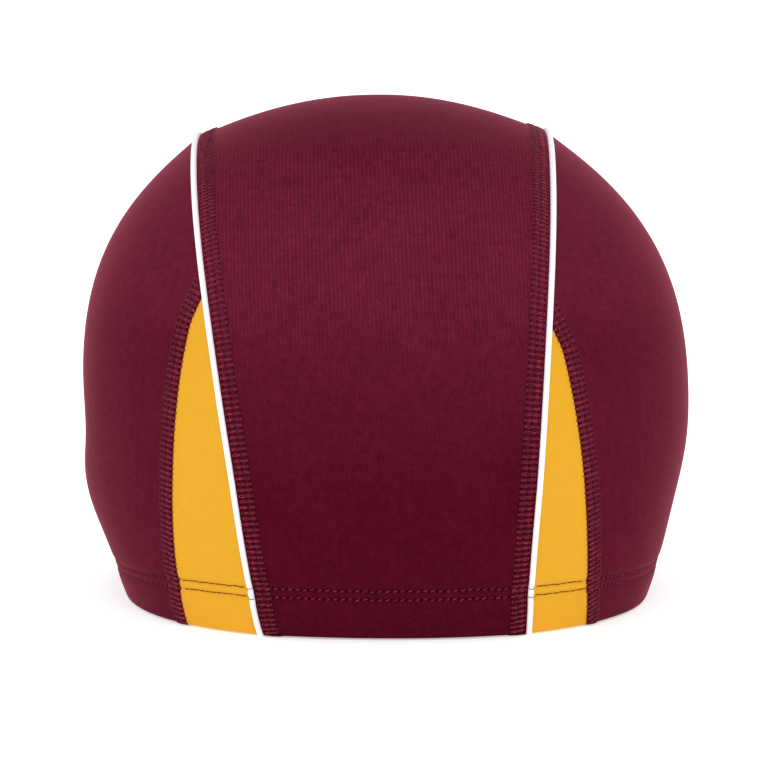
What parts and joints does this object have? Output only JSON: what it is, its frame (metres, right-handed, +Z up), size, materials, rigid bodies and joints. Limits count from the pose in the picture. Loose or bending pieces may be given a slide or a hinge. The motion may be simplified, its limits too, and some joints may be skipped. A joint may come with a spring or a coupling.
{
  "type": "fabric swim cap",
  "caption": "Close-fitting stretch fabric cap, a rounded shell open below, with contrast wedges beside piped long seams and a stitched hem.",
  "frame": {"origin": "on the surface that the hem stands on, under the middle of the cap", "axes": "+Z up through the crown, +Y from the shown end towards the far end, +X to the right of someone who faces the shown end"},
  "size_m": [0.166, 0.2, 0.1358],
  "materials": {
    "burgundy_knit": "matt warp-knit nylon and elastane, with a soft sheen",
    "gold_knit": "matt warp-knit nylon and elastane",
    "white_piping": "smooth knit-covered piping"
  },
  "bodies": {
    "root": {"centre_panel": "burgundy_knit", "side_panel_left": "burgundy_knit", "side_panel_right": "burgundy_knit", "insert_front_left": "gold_knit", "insert_front_right": "gold_knit", "insert_back_left": "gold_knit", "insert_back_right": "gold_knit", "piping_left": "white_piping", "piping_right": "white_piping"}
  },
  "joints": []
}
